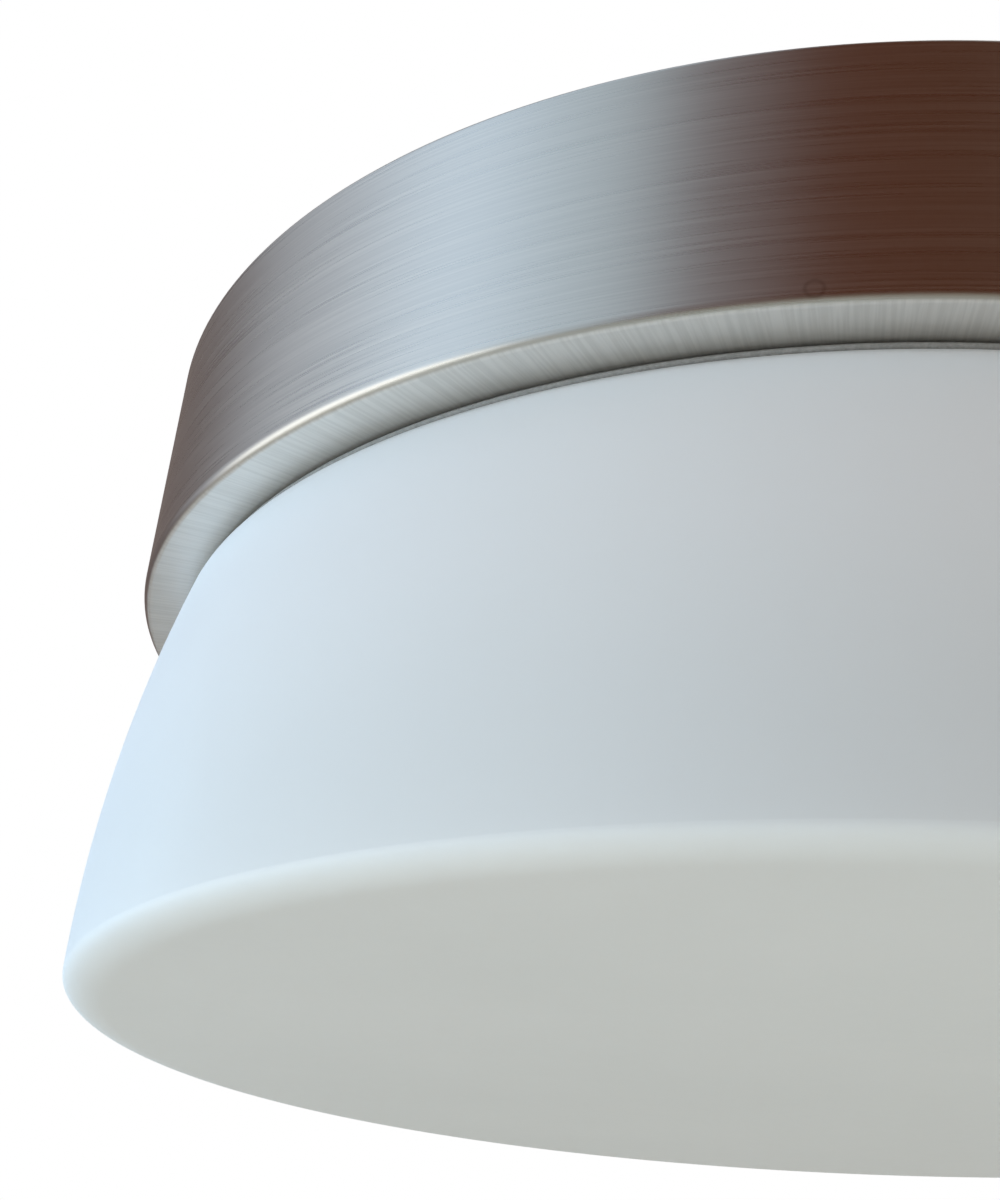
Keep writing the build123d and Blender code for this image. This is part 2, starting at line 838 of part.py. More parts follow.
clip_spots = {1: ((-56.0, 12.0), -51.5), -1: ((62.0, -30.0), 172.0)}
port_end = block_length / 2 - port_depth + 1
port_for = {"live": lamp_ports[0], "neutral": lamp_ports[1]}
for number, side in ((1, 1), (2, -1)):
    spot, heading = clip_spots[side]
    along = Vector(1, 0, 0).rotate(Axis.Z, heading)
    across = Vector(0, 1, 0).rotate(Axis.Z, heading)
    for name, hand in (("live", -1), ("neutral", 1)):
        exit_y = side * lamp_offset + hand * lead_exit_offset
        middle = Vector(spot[0], spot[1], lead_z) + across * (hand * side * clip_gap / 2)
        route_points = [
            (-side * (lamp_tip_x + 8), exit_y, lamp_z),
            (-side * (lamp_tip_x + 23), exit_y, lamp_z),
            (-side * (lamp_tip_x + 23), exit_y, lead_z),
            (-side * (lamp_tip_x - 10), side * lamp_offset + hand * 7, lead_z),
            tuple(middle - along * (clip_length / 2 + 3)),
            tuple(middle + along * (clip_length / 2 + 3)),
            (-side * (block_length / 2 + 12), port_for[name], lead_z),
            (-side * port_end, port_for[name], lead_z),
        ]
        lead(route_points, f"lead_{name}_{number}")

lead(
    [
        (port_end, lamp_ports[2], lead_z),
        (block_length / 2 + 15, lamp_ports[2], lead_z),
        (earth_x - 8, earth_y - 28, lead_z + 1),
        (earth_x, earth_y - 20, barrel_z),
        (earth_x, earth_y - 7.5, barrel_z),
    ],
    "lead_earth",
)

# --- Clips that hold the leads under the back plate ---
clip_drop = plate_under - lead_z + lead_radius + clip_wall
with BuildPart() as wire_clips:
    for spot, heading in clip_spots.values():
        along = Vector(1, 0, 0).rotate(Axis.Z, heading)
        start = Vector(spot[0], spot[1], plate_under) - along * (clip_length / 2)
        clip_plane = Plane(origin=start, x_dir=Vector(0, 0, 1).cross(along), z_dir=along)
        with BuildSketch(clip_plane):
            with Locations((0, -clip_foot_height / 2)):
                Rectangle(clip_foot_width, clip_foot_height)
            with Locations((0, -clip_drop / 2)):
                Rectangle(clip_gap + 2 * (lead_radius + clip_wall), clip_drop)
            with Locations((clip_gap / 2, lead_z - plate_under), (-clip_gap / 2, lead_z - plate_under)):
                Circle(lead_radius + clip_play, mode=Mode.SUBTRACT)
        extrude(amount=clip_length)
save(wire_clips, "wire_clips")
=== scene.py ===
import json
import math

import bmesh
import bpy
from mathutils import Matrix, Vector, noise


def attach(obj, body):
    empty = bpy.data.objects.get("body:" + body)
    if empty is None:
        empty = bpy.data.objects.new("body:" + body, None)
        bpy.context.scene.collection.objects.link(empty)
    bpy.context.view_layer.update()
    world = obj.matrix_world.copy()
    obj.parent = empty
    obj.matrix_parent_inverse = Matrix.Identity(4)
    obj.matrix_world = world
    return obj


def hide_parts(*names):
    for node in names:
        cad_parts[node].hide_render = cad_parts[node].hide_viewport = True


# Flush mount ceiling light. In metres: z = 0 is the ceiling, the light hangs below it.
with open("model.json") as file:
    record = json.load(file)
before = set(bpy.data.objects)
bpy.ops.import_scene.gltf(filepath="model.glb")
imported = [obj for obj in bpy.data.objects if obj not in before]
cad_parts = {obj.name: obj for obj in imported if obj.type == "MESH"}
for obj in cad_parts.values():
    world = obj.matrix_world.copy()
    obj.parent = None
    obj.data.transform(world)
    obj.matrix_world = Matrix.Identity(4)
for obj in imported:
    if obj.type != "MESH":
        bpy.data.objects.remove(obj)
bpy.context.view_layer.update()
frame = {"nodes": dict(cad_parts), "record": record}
nodes = frame["nodes"]
print("frame loaded:", len(nodes), "nodes")


def startMaterial(name):
    material = bpy.data.materials.new(name)
    material.use_nodes = True
    tree = material.node_tree
    return material, tree, tree.nodes["Principled BSDF"]


def addNode(tree, kind, x, y, **settings):
    node = tree.nodes.new(kind)
    node.location = (x, y)
    for key, value in settings.items():
        setattr(node, key, value)
    return node


def objectPoint(tree, scale=(1, 1, 1)):
    coords = addNode(tree, "ShaderNodeTexCoord", -1500, 0)
    mapping = addNode(tree, "ShaderNodeMapping", -1300, 0)
    mapping.inputs["Scale"].default_value = scale
    tree.links.new(coords.outputs["Object"], mapping.inputs["Vector"])
    return mapping.outputs["Vector"]


def addNoise(tree, vector, scale, detail=3.0, rough=0.55, y=0):
    node = addNode(tree, "ShaderNodeTexNoise", -1050, y)
    node.inputs["Scale"].default_value = scale
    node.inputs["Detail"].default_value = detail
    node.inputs["Roughness"].default_value = rough
    tree.links.new(vector, node.inputs["Vector"])
    return node.outputs["Fac"]


def addMath(tree, operation, first, second=None, x=-800, y=0):
    node = addNode(tree, "ShaderNodeMath", x, y, operation=operation)
    for slot, value in enumerate((first, second)):
        if value is None:
            continue
        if isinstance(value, (int, float)):
            node.inputs[slot].default_value = value
        else:
            tree.links.new(value, node.inputs[slot])
    return node.outputs[0]


def addVectorMath(tree, operation, first, second=None, scale=None, x=-900, y=0):
    node = addNode(tree, "ShaderNodeVectorMath", x, y, operation=operation)
    for slot, value in enumerate((first, second)):
        if value is None:
            continue
        if isinstance(value, tuple):
            node.inputs[slot].default_value = value
        else:
            tree.links.new(value, node.inputs[slot])
    if scale is not None:
        node.inputs["Scale"].default_value = scale
    gives = "Value" if operation in ("LENGTH", "DISTANCE", "DOT_PRODUCT") else "Vector"
    return node.outputs[gives]


def addRange(tree, value, low, high, outLow, outHigh, smooth=False, y=0):
    node = addNode(tree, "ShaderNodeMapRange", -600, y)
    if smooth:
        node.interpolation_type = "SMOOTHSTEP"
    tree.links.new(value, node.inputs["Value"])
    ends = {"From Min": low, "From Max": high, "To Min": outLow, "To Max": outHigh}
    for socket, number in ends.items():
        node.inputs[socket].default_value = number
    return node.outputs["Result"]


# a mix node has sockets 0, 6 and 7 for colours, and 0, 2 and 3 for single values
def mixColours(tree, factor, first, second, x=-300, y=200):
    node = addNode(tree, "ShaderNodeMix", x, y, data_type="RGBA")
    for socket, value in ((0, factor), (6, first), (7, second)):
        if isinstance(value, tuple):
            node.inputs[socket].default_value = (*value, 1)
        else:
            tree.links.new(value, node.inputs[socket])
    return node.outputs[2]


def mixValues(tree, factor, first, second, x=-500, y=0):
    node = addNode(tree, "ShaderNodeMix", x, y, data_type="FLOAT")
    for socket, value in ((0, factor), (2, first), (3, second)):
        if isinstance(value, (int, float)):
            node.inputs[socket].default_value = value
        else:
            tree.links.new(value, node.inputs[socket])
    return node.outputs[0]


def addBump(tree, shader, height, strength, distance):
    bump = addNode(tree, "ShaderNodeBump", -250, -300)
    bump.inputs["Strength"].default_value = strength
    bump.inputs["Distance"].default_value = distance
    tree.links.new(height, bump.inputs["Height"])
    tree.links.new(bump.outputs["Normal"], shader.inputs["Normal"])


def setValues(shader, **values):
    for key, value in values.items():
        socket = shader.inputs[key.replace("_", " ")]
        socket.default_value = value


# brushed metal: lines run round the pan on its wall, and outwards on its flange
brush = {
    "metal": (0.66, 0.645, 0.62),
    "darkStreak": (0.565, 0.553, 0.533),
    "roughness": (0.25, 0.37),
    "streakAlong": 16,  # noise cells per metre
    "streakAcross": 2300,
    "streakRange": (0.35, 0.65),
    "hatchStep": 190,
    "hatchAlong": 45,
    "hatchRange": (0.40, 0.60),
    "cloudScale": 22.0,
    "flangeTop": -0.0515,
    "flangeRoughness": 0.46,
    "flangeMetal": 0.84,
    # painted light: the flange's nickel and hatch tones are paler than the wall's, standing in for
    # light the flange gets from the glass below; the hatch lines themselves are its own radial
    # brushing
    "paintedLitFlange": (0.79, 0.775, 0.745),
    "hatchDark": (0.72, 0.705, 0.675),
    "weldMark": (-0.0049, -0.1648, -0.0498),
    "weldRadius": 0.0015,
    "weldWidth": 0.0006,
    "weldDepth": 0.35,
    "nick": (-0.0343, -0.1614, -0.0525),
    "nickRadius": 0.0008,
    "nickDepth": 0.5,
    "mark": (0.28, 0.25, 0.22),
    "dull": (0.5, 0.49, 0.47),
    "dullShare": 0.06,
    "levelNormals": (0.75, 0.95),
    "anisotropy": (0.8, 0.15),
    "bump": 0.14,
    "bumpDepth": 0.00005,
}


def brushedNickel():
    material, tree, shader = startMaterial("brushedNickel")
    point = objectPoint(tree)
    split = addNode(tree, "ShaderNodeSeparateXYZ", -1150, 300)
    tree.links.new(point, split.inputs[0])
    flat = addVectorMath(tree, "MULTIPLY", point, (1, 1, 0), x=-1150, y=500)
    radius = addVectorMath(tree, "LENGTH", flat, x=-1000, y=500)
    around = addVectorMath(tree, "NORMALIZE", flat, x=-1000, y=650)
    # lines round the wall, then rings on the back, then lines outwards on the flange
    along, across = brush["streakAlong"], brush["streakAcross"]
    wallLines = objectPoint(tree, (along, along, across))
    wallNoise = addNoise(tree, wallLines, 1.0, 4.0, 0.6, y=200)
    ringLines = addNode(tree, "ShaderNodeCombineXYZ", -850, 500)
    tree.links.new(split.outputs[0], ringLines.inputs[0])
    tree.links.new(split.outputs[1], ringLines.inputs[1])
    squeezed = addMath(tree, "MULTIPLY", radius, across / along, y=600)
    tree.links.new(squeezed, ringLines.inputs[2])
    ringNoise = addNoise(tree, ringLines.outputs[0], along, 4.0, 0.6, y=500)
    spokes = addVectorMath(tree, "SCALE", around, scale=brush["hatchStep"], y=800)
    outward = addNode(tree, "ShaderNodeCombineXYZ", -850, 950)
    tree.links.new(addMath(tree, "MULTIPLY", radius, brush["hatchAlong"], y=900), outward.inputs[2])
    hatchPoint = addVectorMath(tree, "ADD", spokes, outward.outputs[0], y=900)
    hatchNoise = addNoise(tree, hatchPoint, 1.0, 2.5, 0.5, y=900)
    # which of the three a point gets, from its normal and its height
    geometry = addNode(tree, "ShaderNodeNewGeometry", -1150, -300)
    normalParts = addNode(tree, "ShaderNodeSeparateXYZ", -1000, -300)
    tree.links.new(geometry.outputs["Normal"], normalParts.inputs[0])
    upright = addMath(tree, "ABSOLUTE", normalParts.outputs[2], y=-300)
    level = addRange(tree, upright, *brush["levelNormals"], 0, 1, True, y=-300)
    low = addMath(tree, "LESS_THAN", split.outputs[2], brush["flangeTop"], y=-150)
    onFlange = addMath(tree, "MULTIPLY", level, low, y=-50)
    levelNoise = mixValues(tree, low, ringNoise, hatchNoise, y=600)
    lines = mixValues(tree, level, wallNoise, levelNoise, x=-450, y=300)
    clouds = addNoise(tree, point, brush["cloudScale"], 2.0, y=-600)
    # a round weld mark and a nick, low on the wall
    weldDistance = addVectorMath(tree, "DISTANCE", point, brush["weldMark"], y=-800)
    offRing = addMath(tree, "SUBTRACT", weldDistance, brush["weldRadius"], y=-800)
    ringEdge = addMath(tree, "ABSOLUTE", offRing, y=-800)
    weld = addRange(tree, ringEdge, 0.0, brush["weldWidth"], brush["weldDepth"], 0.0, True, y=-800)
    nickDistance = addVectorMath(tree, "DISTANCE", point, brush["nick"], y=-1000)
    nick = addRange(tree, nickDistance, 0.0, brush["nickRadius"], brush["nickDepth"], 0.0, True)
    marks = addMath(tree, "ADD", weld, nick, y=-900)
    streaks = addRange(tree, lines, *brush["streakRange"], 0, 1, y=200)
    metal = mixColours(tree, streaks, brush["darkStreak"], brush["metal"])
    hatch = addRange(tree, hatchNoise, *brush["hatchRange"], 0, 1, y=1000)
    # radial brushing on the flange, on a nickel painted paler as light from the glass below
    paintedLitUnderside = mixColours(tree, hatch, brush["hatchDark"], brush["paintedLitFlange"], y=1000)
    metal = mixColours(tree, onFlange, metal, paintedLitUnderside, y=900)
    dulled = addRange(tree, clouds, 0.3, 0.7, 0, brush["dullShare"], y=-600)
    metal = mixColours(tree, dulled, metal, brush["dull"], y=350)
    metal = mixColours(tree, marks, metal, brush["mark"], y=500)
    tree.links.new(metal, shader.inputs["Base Color"])
    grain = addRange(tree, lines, 0.3, 0.7, *brush["roughness"], y=0)
    roughness = mixValues(tree, onFlange, grain, brush["flangeRoughness"], y=0)
    stretch = addRange(tree, onFlange, 0, 1, *brush["anisotropy"], y=-100)
    metallic = addRange(tree, onFlange, 0, 1, 1.0, brush["flangeMetal"], y=-200)
    tree.links.new(roughness, shader.inputs["Roughness"])
    tree.links.new(stretch, shader.inputs["Anisotropic"])
    tree.links.new(metallic, shader.inputs["Metallic"])
    setValues(shader, Anisotropic_Rotation=0.25)
    tangent = addNode(tree, "ShaderNodeTangent", -300, -500, direction_type="RADIAL", axis="Z")
    tree.links.new(tangent.outputs[0], shader.inputs["Tangent"])
    addBump(tree, shader, lines, brush["bump"], brush["bumpDepth"])
    return material


opal = {
    "glass": (0.845, 0.86, 0.86),
    "cloud": (0.80, 0.82, 0.82),
    # painted light: the glass is paler towards its top, against the shade the flange casts there
    "rim": (0.985, 0.985, 0.98),
    "paintedLightHeights": (-0.128, -0.060),
    "roughness": (0.40, 0.48),
    "depth": 0.004,
    "cloudScale": 14.0,
    "pullScale": (260, 260, 30),  # faint upright streaks
    "etchScale": 2600.0,
}


def opalGlass():
    material, tree, shader = startMaterial("opalGlass")
    point = objectPoint(tree)
    clouds = addNoise(tree, point, opal["cloudScale"], 2.0, y=200)
    pull = addNoise(tree, objectPoint(tree, opal["pullScale"]), 1.0, 2.0, y=0)
    etch = addNoise(tree, point, opal["etchScale"], 2.0, y=-300)
    shade = addRange(tree, clouds, 0.3, 0.7, 0, 0.5, y=200)
    split = addNode(tree, "ShaderNodeSeparateXYZ", -1150, 500)
    tree.links.new(point, split.inputs[0])
    # painted light: paler glass towards the top, offsetting the flange's shade
    paintedRimLight = addRange(tree, split.outputs[2], *opal["paintedLightHeights"], 0, 1, True, y=500)
    body = mixColours(tree, shade, opal["glass"], opal["cloud"])
    colour = mixColours(tree, paintedRimLight, body, opal["rim"], x=-100)
    roughness = addRange(tree, pull, 0.3, 0.7, *opal["roughness"])
    tree.links.new(colour, shader.inputs["Base Color"])
    tree.links.new(roughness, shader.inputs["Roughness"])
    setValues(shader, IOR=1.46, Subsurface_Weight=0.35, Subsurface_Scale=opal["depth"])
    shader.inputs["Subsurface Radius"].default_value = (1.0, 1.0, 1.0)
    addBump(tree, shader, etch, 0.05, 0.00003)
    return material


def mottled(name, dark, light, scale, roughness, metallic=0.0, bump=0.1, distance=0.0001, **values):
    material, tree, shader = startMaterial(name)
    point = objectPoint(tree)
    patches = addNoise(tree, point, scale, 4.0, y=200)
    grain = addNoise(tree, point, scale * 9, 2.0, y=-200)
    shade = addRange(tree, patches, 0.35, 0.65, 0, 1, y=200)
    tree.links.new(mixColours(tree, shade, dark, light), shader.inputs["Base Color"])
    tree.links.new(addRange(tree, grain, 0.3, 0.7, *roughness, y=0), shader.inputs["Roughness"])
    setValues(shader, Metallic=metallic, **values)
    addBump(tree, shader, grain, bump, distance)
    return material


finishes = {
    "brushed_nickel": brushedNickel(),
    "opal_glass": opalGlass(),
    "gasket_foam": mottled(
        "gasketFoam", (0.36, 0.355, 0.34), (0.47, 0.465, 0.45),
        1200, (0.75, 0.95), bump=0.6, distance=0.0002,
    ),
    "zinc_steel": mottled(
        "zincPlate", (0.50, 0.51, 0.50), (0.68, 0.685, 0.67),
        420, (0.24, 0.38), 1.0, 0.08,
    ),
    "glass_fibre": mottled(
        "glassFibre", (0.60, 0.50, 0.27), (0.84, 0.76, 0.52),
        260, (0.8, 0.95), bump=0.5, distance=0.0004,
    ),
    "white_nylon": mottled(
        "whiteNylon", (0.76, 0.74, 0.66), (0.84, 0.83, 0.76),
        90, (0.40, 0.52), bump=0.05,
    ),
    "porcelain": mottled(
        "porcelain", (0.82, 0.81, 0.76), (0.88, 0.875, 0.84),
        60, (0.12, 0.2), bump=0.03, Coat_Weight=0.6,
    ),
    "nickel_brass": mottled(
        "nickelBrass", (0.60, 0.56, 0.46), (0.76, 0.72, 0.62),
        300, (0.2, 0.32), 1.0, 0.05,
    ),
    "brass_leaf": mottled(
        "springBrass", (0.66, 0.46, 0.18), (0.83, 0.63, 0.30),
        300, (0.25, 0.4), 1.0, 0.05,
    ),
    "lamp_plastic": mottled(
        "lampHousing", (0.80, 0.80, 0.78), (0.86, 0.86, 0.84),
        120, (0.35, 0.45), bump=0.05,
    ),
    "lamp_opal": mottled(
        "lampOpal", (0.86, 0.86, 0.84), (0.90, 0.90, 0.88),
        40, (0.45, 0.55), bump=0.04,
    ),
    "lamp_black": mottled(
        "blackGlass", (0.008, 0.008, 0.01), (0.02, 0.02, 0.022),
        200, (0.08, 0.16), bump=0.03,
    ),
    "solder": mottled(
        "tinnedContact", (0.50, 0.50, 0.49), (0.66, 0.66, 0.65),
        700, (0.3, 0.5), 1.0, 0.15,
    ),
    "led_white": mottled(
        "ledBoard", (0.78, 0.78, 0.75), (0.85, 0.85, 0.82),
        200, (0.35, 0.5), bump=0.05,
    ),
    "wire_black": mottled(
        "blackLead", (0.015, 0.015, 0.016), (0.03, 0.03, 0.032),
        500, (0.4, 0.5), bump=0.06,
    ),
    "wire_white": mottled(
        "whiteLead", (0.74, 0.74, 0.71), (0.82, 0.82, 0.80),
        500, (0.4, 0.5), bump=0.06,
    ),
    "wire_green": mottled(
        "greenLead", (0.02, 0.16, 0.05), (0.04, 0.26, 0.09),
        500, (0.4, 0.5), bump=0.06,
    ),
    "green_screw": mottled(
        "greenZinc", (0.04, 0.22, 0.08), (0.09, 0.36, 0.15),
        500, (0.25, 0.4), 1.0, 0.08,
    ),
}

for part in frame["record"]["subparts"]:
    piece = nodes[part["node"]]
    piece.data.materials.clear()
    piece.data.materials.append(finishes[part["material_slot"]])
print("finishes on the carried-over nodes")


def deselectAll():
    bpy.ops.object.select_all(action="DESELECT")


def selectOnly(mesh, chosen):
    for vertex in mesh.verts:
        vertex.select_set(vertex in chosen)
    mesh.select_flush(True)


def drawWire(name, corners, closed=False):
    # one vertex, pulled from corner to corner in the XZ plane
    deselectAll()
    bpy.ops.mesh.primitive_plane_add(size=0.01)
    piece = bpy.context.object
    piece.name = piece.data.name = name
    bpy.ops.object.mode_set(mode="EDIT")
    bpy.ops.mesh.select_mode(type="VERT")
    bpy.ops.mesh.select_all(action="SELECT")
    bpy.ops.mesh.merge(type="CENTER")
    here = Vector((corners[0][0], 0, corners[0][1]))
    bpy.ops.transform.translate(value=here)
    for radius, height in corners[1:]:
        there = Vector((radius, 0, height))
        bpy.ops.mesh.extrude_vertices_move(TRANSFORM_OT_translate={"value": there - here})
        here = there
    if closed:
        mesh = bmesh.from_edit_mesh(piece.data)
        mesh.verts.ensure_lookup_table()
        selectOnly(mesh, {mesh.verts[0], mesh.verts[-1]})
        bpy.ops.mesh.edge_face_add()
    return piece


def roundCorner(piece, corner, offset, segments=6):
    mesh = bmesh.from_edit_mesh(piece.data)
    spot = Vector((corner[0], 0, corner[1]))
    nearest = min(mesh.verts, key=lambda vertex: (vertex.co - spot).length)
    selectOnly(mesh, {nearest})
    bmesh.update_edit_mesh(piece.data)
    bpy.ops.mesh.bevel(
        offset=offset, offset_type="OFFSET", segments=segments, profile=0.5, affect="VERTICES"
    )


def spinWire(steps, angle=2 * math.pi):
    bpy.ops.mesh.select_all(action="SELECT")
    bpy.ops.mesh.spin(steps=steps, angle=angle, center=(0, 0, 0), axis=(0, 0, 1))
    bpy.ops.mesh.select_all(action="SELECT")
    bpy.ops.mesh.remove_doubles(threshold=0.000002)
    bpy.ops.mesh.normals_make_consistent(inside=False)


def useModifier(piece, kind, **settings):
    modifier = piece.modifiers.new(kind.title(), kind)
    for key, value in settings.items():
        setattr(modifier, key, value)
    bpy.context.view_layer.objects.active = piece
    bpy.ops.object.modifier_apply(modifier=modifier.name)


# pushes the skin in by noise, never out past the flat faces
def roughen(piece, depth, size):
    outward = [vertex.normal.copy() for vertex in piece.data.vertices]
    for vertex, normal in zip(piece.data.vertices, outward):
        bump = noise.fractal(vertex.co / size, 0.8, 2.0, 3)
        vertex.co -= normal * depth * min(1.0, max(0.0, 0.5 + 0.5 * bump))


def finishPiece(piece, body, slot, node, angle):
    deselectAll()
    piece.select_set(True)
    bpy.context.view_layer.objects.active = piece
    bpy.ops.object.shade_smooth_by_angle(angle=math.radians(angle))
    useModifier(piece, "WEIGHTED_NORMAL", keep_sharp=True, weight=80)
    piece.data.materials.clear()
    piece.data.materials.append(finishes[slot])
    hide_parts(node)
    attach(piece, body)


def addCutter(cutters, place, radius, depth):
    deselectAll()
    bpy.ops.mesh.primitive_cylinder_add(vertices=64, radius=radius, depth=depth, location=place)
    cutters.append(bpy.context.object)


def joinAll(objects):
    deselectAll()
    for piece in objects:
        piece.select_set(True)
    bpy.context.view_layer.objects.active = objects[0]
    bpy.ops.object.join()
    bpy.ops.object.transform_apply(location=True, rotation=True, scale=True)
    return bpy.context.object


shade = {
    "wall": 0.0036,
    "neckRadius": 0.147,
    "neckTop": -0.0445,
    "shoulder": -0.05436,
    "bottom": -0.1403,
    "bowRadius": 0.2856,
    "bowCentre": (-0.1162, -0.1437),
    "bowSteps": 22,
    "bottomRing": 0.08,
    "footRound": 0.0086,
    "shoulderRound": 0.0021,
    "neckRound": 0.0015,
    "rimRound": 0.0008,
    "steps": 288,
    "lugHeadings": (-98, 22, 142),
    "lugArc": 12,
    "lugRadii": (0.1455, 0.1513),
    "lugHeights": (-0.0501, -0.0456),
}


def bowPoint(height, inset):
    reach = shade["bowRadius"] - inset
    centreRadius, centreHeight = shade["bowCentre"]
    return centreRadius + math.sqrt(reach ** 2 - (height - centreHeight) ** 2), height


def bowLine(start, end, inset):
    steps = shade["bowSteps"]
    return [bowPoint(start + (end - start) * step / steps, inset) for step in range(steps + 1)]


def makeShade():
    wall, neck = shade["wall"], shade["neckRadius"]
    bottom, shoulder = shade["bottom"], shade["shoulder"]
    outerWall = bowLine(bottom, shoulder, 0)
    innerWall = bowLine(shoulder - wall, bottom + wall, wall)
    neckTop, ring = shade["neckTop"], shade["bottomRing"]
    neckIn = neck - wall
    collar = [(neck, shoulder), (neck, neckTop), (neckIn, neckTop), (neckIn, shoulder - wall)]
    paintedLitUnderside = [(0, bottom), (ring, bottom)]
    inside = [(ring, bottom + wall), (0, bottom + wall)]
    outline = paintedLitUnderside + outerWall + collar + innerWall + inside
    piece = drawWire("glassShade", outline)
    roundCorner(piece, outerWall[0], shade["footRound"], 12)
    roundCorner(piece, outerWall[-1], shade["shoulderRound"])
    roundCorner(piece, collar[0], shade["neckRound"])
    roundCorner(piece, collar[1], shade["rimRound"])
    roundCorner(piece, collar[2], shade["rimRound"])
    roundCorner(piece, collar[3], shade["neckRound"] + wall)
    roundCorner(piece, innerWall[0], shade["rimRound"])
    roundCorner(piece, innerWall[-1], shade["footRound"] - wall)
    spinWire(shade["steps"])
    bpy.ops.object.mode_set(mode="OBJECT")
    (inner, outer), (low, high) = shade["lugRadii"], shade["lugHeights"]
    section = [(inner, low), (outer, low), (outer, high), (inner, high)]
    lugs = []
    for heading in shade["lugHeadings"]:
        lug = drawWire("lug", section, closed=True)
        bpy.ops.mesh.select_all(action="SELECT")
        bpy.ops.mesh.edge_face_add()
        spinWire(8, math.radians(shade["lugArc"]))
        bpy.ops.object.mode_set(mode="OBJECT")
        lug.data.transform(Matrix.Rotation(math.radians(heading - shade["lugArc"] / 2), 4, "Z"))
        lugs.append(lug)
    lugRing = joinAll(lugs)
    useModifier(piece, "BOOLEAN", object=lugRing, operation="UNION", solver="EXACT")
    bpy.data.objects.remove(lugRing)
    finishPiece(piece, "shade", "opal_glass", "diffuser", 25)


makeShade()
print("glass shade made")


gasket = {
    "rim": (0.1488, 0.1530),
    "heights": (-0.05436, -0.0526),
    "swell": 0.0011,
    "outerRound": 0.0007,
    "steps": 240,
    "grain": 0.00008,
    "grainSize": 0.0012,
}


def makeGasket():
    (inner, outer), (low, high) = gasket["rim"], gasket["heights"]
    middle = (low + high) / 2
    bulge = (outer + gasket["swell"], middle)
    outline = [(inner, low), (outer, low), bulge, (outer, high), (inner, high)]
    piece = drawWire("gasketFoamRing", outline, closed=True)
    roundCorner(piece, bulge, gasket["outerRound"], 5)
    spinWire(gasket["steps"])
    bpy.ops.object.mode_set(mode="OBJECT")
    roughen(piece, gasket["grain"], gasket["grainSize"])
    finishPiece(piece, "shade", "gasket_foam", "dust_gasket", 60)


pad = {
    "rim": (0.075, 0.150),
    "heights": (-0.00835, -0.0006),
    "corner": 0.0024,
    "rings": 22,
    "steps": 260,
    "tufts": 0.0007,
    "tuftSize": 0.009,
    "fuzz": 0.00025,
    "fuzzSize": 0.0022,
}


def makePad():
    (inner, outer), (low, high) = pad["rim"], pad["heights"]
    count = pad["rings"]
    floorLine = [(inner + (outer - inner) * step / count, low) for step in range(count + 1)]
    topLine = [(radius, high) for radius, _ in reversed(floorLine)]
    piece = drawWire("fibrePad", floorLine + topLine, closed=True)
    for corner in (floorLine[0], floorLine[-1], topLine[0], topLine[-1]):
        roundCorner(piece, corner, pad["corner"], 4)
    spinWire(pad["steps"])
    bpy.ops.object.mode_set(mode="OBJECT")
    roughen(piece, pad["tufts"], pad["tuftSize"])
    roughen(piece, pad["fuzz"], pad["fuzzSize"])
    finishPiece(piece, "fixture", "glass_fibre", "insulation_pad", 80)


makeGasket()
makePad()
print("gasket and pad made")


pan = {
    "radius": 0.165,
    "height": 0.0523,
    "draft": 0.0024,
    "sheet": 0.0008,
    "recessRadius": 0.153,
    "plateRing": 0.149,
    "plate": -0.009,
    "opening": 0.152,
    "plateRound": 0.001,
    "rimRound": 0.001,
    "lowerRound": 0.0018,
    "steps": 288,
    "bushing": (0, 0.024, 0.011),
    "screwSpacing": 0.06986,
    "keyTurn": 14,
    "keyCuts": 6,
    "keyEntry": 0.0046,
    "keySlot": 0.0024,
    "cutDepth": 0.004,
    "cutStagger": 0.0002,
    "smallHoles": (
        (0.104, -0.037, 0.0016),
        (0.094, -0.037, 0.0016),
        (0, -0.022, 0.0015),
        (0.060, 0.012, 0.00195),
        (-0.104, 0.037, 0.0016),
        (-0.094, 0.037, 0.0016),
    ),
}


